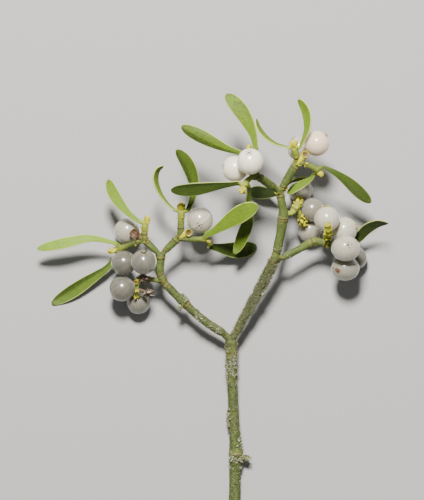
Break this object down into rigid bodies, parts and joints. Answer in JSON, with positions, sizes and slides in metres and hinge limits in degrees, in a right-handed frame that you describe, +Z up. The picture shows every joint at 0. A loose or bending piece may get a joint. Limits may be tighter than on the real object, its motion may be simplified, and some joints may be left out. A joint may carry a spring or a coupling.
{
  "type": "mistletoe bunch",
  "caption": "Cut sprig of white-berried mistletoe lying flat: forked green shoots, paired leathery leaves and pearly berries in tight groups.",
  "frame": {"origin": "on the table, under the middle of the lying sprig", "axes": "+Y along the main stem from its cut end towards the leaves, +X to the right seen from above, +Z up from the table"},
  "size_m": [0.1264, 0.155, 0.0384],
  "materials": {
    "bark": "matte",
    "leaf": "satin",
    "berry": "gloss"
  },
  "bodies": {
    "root": {"main_stem": "bark", "left_branch": "bark", "left_upper_branch": "bark", "left_outer_branch": "bark", "left_outer_twig": "bark", "left_side_twig": "bark", "left_inner_branch": "bark", "left_inner_twig": "bark", "left_front_twig": "bark", "left_fruit_spur": "bark", "right_branch": "bark", "right_mid_branch": "bark", "centre_branch": "bark", "centre_front_twig": "bark", "centre_back_twig": "bark", "back_twig": "bark", "top_branch": "bark", "top_left_twig": "bark", "top_right_twig": "bark", "right_fruit_spur": "bark", "right_fruit_fork": "bark", "right_low_branch": "bark", "right_cluster_spur": "bark", "right_tip_twig": "bark", "leaf_left_upper": "leaf", "leaf_left_outer": "leaf", "leaf_left_lower": "leaf", "leaf_left_curled": "leaf", "leaf_left_inner": "leaf", "leaf_middle_front": "leaf", "leaf_middle_back": "leaf", "leaf_centre_left": "leaf", "leaf_centre_down": "leaf", "leaf_top_left": "leaf", "leaf_top": "leaf", "leaf_top_curled": "leaf", "leaf_top_tall": "leaf", "leaf_right_long": "leaf", "leaf_right_small": "leaf", "leaf_right_outer": "leaf", "leaf_back_left": "leaf", "leaf_back_right": "leaf", "berry_left_cupped": "berry", "berry_left_side": "berry", "berry_left_front": "berry", "berry_left_low": "berry", "berry_left_lowest": "berry", "berry_middle": "berry", "berry_centre_back": "berry", "berry_centre_front": "berry", "berry_top_back": "berry", "berry_top_front": "berry", "berry_right_shaded": "berry", "berry_right_upper": "berry", "berry_right_under": "berry", "berry_right_front": "berry", "berry_right_outer": "berry", "berry_right_scarred": "berry", "berry_right_low": "berry", "berry_right_hidden": "berry"}
  },
  "joints": []
}
